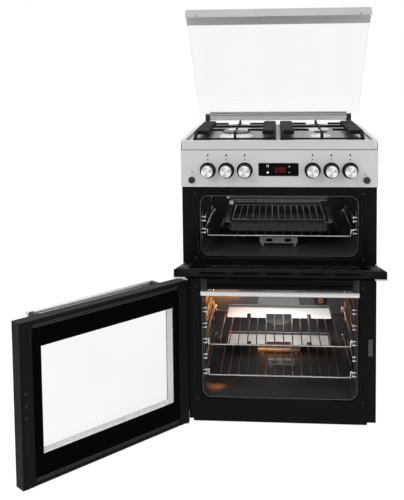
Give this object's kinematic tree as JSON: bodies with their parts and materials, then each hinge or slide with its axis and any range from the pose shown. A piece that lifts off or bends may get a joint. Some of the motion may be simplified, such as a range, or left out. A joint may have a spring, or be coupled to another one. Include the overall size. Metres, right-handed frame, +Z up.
{
  "type": "gas cooker",
  "caption": "Free-standing gas cooker with a fold-down grill oven door, a side-hung main oven door, a gas hob with cast pan supports and a hinged glass lid",
  "frame": {"origin": "on the floor, below the middle of the control panel's front face", "axes": "+X to the right seen from the front, +Y from the front to the back, +Z up"},
  "size_m": [1.0089, 1.0641, 1.3088],
  "materials": {
    "cabinet_black": "satin",
    "galvanised": "matt",
    "enamel_black": "gloss",
    "enamel_grey": "gloss",
    "wool": "matt",
    "chrome_wire": "polished",
    "burner_steel": "satin",
    "plate_grey": "satin",
    "amber_lens": "gloss",
    "gasket_grey": "matt",
    "stainless": "brushed",
    "alloy": "satin",
    "cap_black": "satin",
    "porcelain": "gloss",
    "cast_black": "satin",
    "brass": "satin",
    "black_plastic": "satin",
    "white_plastic": "satin",
    "panel_silver": "satin",
    "display_black": "gloss",
    "knob_silver": "spun",
    "black_glass": "gloss",
    "door_glass": "gloss",
    "lid_glass": "gloss",
    "trim_silver": "satin"
  },
  "bodies": {
    "cabinet": {"side_panel_left": "cabinet_black", "side_panel_right": "cabinet_black", "rear_cover": "galvanised", "base_tray": "galvanised", "adjustable_feet": "black_plastic", "front_frame": "enamel_black", "catch_plate": "plate_grey", "top_oven_liner": "enamel_grey", "main_oven_liner": "enamel_grey", "oven_insulation": "wool", "flue_duct": "galvanised", "oven_side_racks": "chrome_wire", "grill_burner": "burner_steel", "main_burner": "burner_steel", "floor_brackets": "plate_grey", "oven_lamp": "amber_lens", "oven_gaskets": "gasket_grey", "door_hinge_brackets": "galvanised", "hob_top": "stainless", "burner_bases": "alloy", "burner_crowns": "alloy", "burner_caps": "cap_black", "spark_electrodes": "porcelain", "gas_pipework": "brass", "gas_taps": "brass", "gas_inlet": "brass", "cable_gland": "black_plastic", "ignition_box": "white_plastic", "control_panel": "panel_silver", "timer_display": "display_black", "knob_bezels": "black_plastic", "lid_hinge_blocks": "black_plastic"},
    "top_door": {"top_door_frame": "cabinet_black", "top_door_outer_glass": "black_glass", "top_door_inner_glass": "door_glass", "top_door_handle": "trim_silver", "top_door_brackets": "black_plastic"},
    "main_door": {"main_door_frame": "cabinet_black", "main_door_outer_glass": "black_glass", "main_door_inner_glass": "door_glass", "main_door_handle": "trim_silver", "main_door_brackets": "black_plastic"},
    "lid": {"lid_glass": "lid_glass", "lid_front_trim": "trim_silver", "lid_hinge_bar": "trim_silver"},
    "knob_top_oven": {"knob_top_oven": "knob_silver"},
    "knob_front_left": {"knob_front_left": "knob_silver"},
    "knob_rear_left": {"knob_rear_left": "knob_silver"},
    "knob_rear_right": {"knob_rear_right": "knob_silver"},
    "knob_front_right": {"knob_front_right": "knob_silver"},
    "knob_main_oven": {"knob_main_oven": "knob_silver"},
    "ignition_button": {"ignition_button": "black_plastic"},
    "lamp_button": {"lamp_button": "black_plastic"},
    "grill_shelf": {"grill_shelf": "chrome_wire"},
    "grill_pan": {"grill_pan": "enamel_grey"},
    "grill_trivet": {"grill_trivet": "chrome_wire"},
    "upper_shelf": {"upper_shelf": "chrome_wire"},
    "lower_shelf": {"lower_shelf": "chrome_wire"},
    "pan_support_left": {"pan_support_left": "cast_black"},
    "pan_support_right": {"pan_support_right": "cast_black"}
  },
  "joints": [
    {"name": "top_door_hinge", "type": "hinge", "parent": "cabinet", "child": "top_door", "pos_m": [0, -0.0045, 0.5105], "axis": [-1, 0, 0], "range_deg": [0, 79.6]},
    {"name": "main_door_hinge", "type": "hinge", "parent": "cabinet", "child": "main_door", "pos_m": [-0.2925, -0.0045, 0.235], "axis": [0, 0, 1], "range_deg": [0, 132]},
    {"name": "lid_hinge", "type": "hinge", "parent": "cabinet", "child": "lid", "pos_m": [0, 0.575, 0.932], "axis": [1, 0, 0], "range_deg": [-52, 43]},
    {"name": "knob_top_oven_turn", "type": "hinge", "parent": "cabinet", "child": "knob_top_oven", "pos_m": [-0.2165, 0, 0.8085], "axis": [0, 1, 0], "range_deg": [-270, 0]},
    {"name": "knob_front_left_turn", "type": "hinge", "parent": "cabinet", "child": "knob_front_left", "pos_m": [-0.1598, 0, 0.8085], "axis": [0, 1, 0], "range_deg": [-210, 0]},
    {"name": "knob_rear_left_turn", "type": "hinge", "parent": "cabinet", "child": "knob_rear_left", "pos_m": [-0.1031, 0, 0.8085], "axis": [0, 1, 0], "range_deg": [-210, 0]},
    {"name": "knob_rear_right_turn", "type": "hinge", "parent": "cabinet", "child": "knob_rear_right", "pos_m": [0.1031, 0, 0.8085], "axis": [0, 1, 0], "range_deg": [-210, 0]},
    {"name": "knob_front_right_turn", "type": "hinge", "parent": "cabinet", "child": "knob_front_right", "pos_m": [0.1598, 0, 0.8085], "axis": [0, 1, 0], "range_deg": [-210, 0]},
    {"name": "knob_main_oven_turn", "type": "hinge", "parent": "cabinet", "child": "knob_main_oven", "pos_m": [0.2165, 0, 0.8085], "axis": [0, 1, 0], "range_deg": [-270, 0]},
    {"name": "ignition_button_press", "type": "slide", "parent": "cabinet", "child": "ignition_button", "axis": [0, 1, 0], "range_m": [0, 0.004], "stiffness_N_per_m": 400, "springref_m": -0.001},
    {"name": "lamp_button_press", "type": "slide", "parent": "cabinet", "child": "lamp_button", "axis": [0, 1, 0], "range_m": [0, 0.004], "stiffness_N_per_m": 400, "springref_m": -0.001},
    {"name": "grill_shelf_slide", "type": "slide", "parent": "cabinet", "child": "grill_shelf", "axis": [0, 1, 0], "range_m": [-0.25, 0]},
    {"name": "grill_pan_slide", "type": "slide", "parent": "grill_shelf", "child": "grill_pan", "axis": [0, 1, 0], "range_m": [-0.15, 0]},
    {"name": "grill_trivet_lift", "type": "slide", "parent": "grill_pan", "child": "grill_trivet", "axis": [0, 0, -1], "range_m": [-0.03, 0]},
    {"name": "upper_shelf_slide", "type": "slide", "parent": "cabinet", "child": "upper_shelf", "axis": [0, 1, 0], "range_m": [-0.25, 0]},
    {"name": "lower_shelf_slide", "type": "slide", "parent": "cabinet", "child": "lower_shelf", "axis": [0, 1, 0], "range_m": [-0.25, 0]},
    {"name": "pan_support_left_lift", "type": "slide", "parent": "cabinet", "child": "pan_support_left", "axis": [0, 0, -1], "range_m": [-0.045, 0]},
    {"name": "pan_support_right_lift", "type": "slide", "parent": "cabinet", "child": "pan_support_right", "axis": [0, 0, -1], "range_m": [-0.045, 0]}
  ]
}
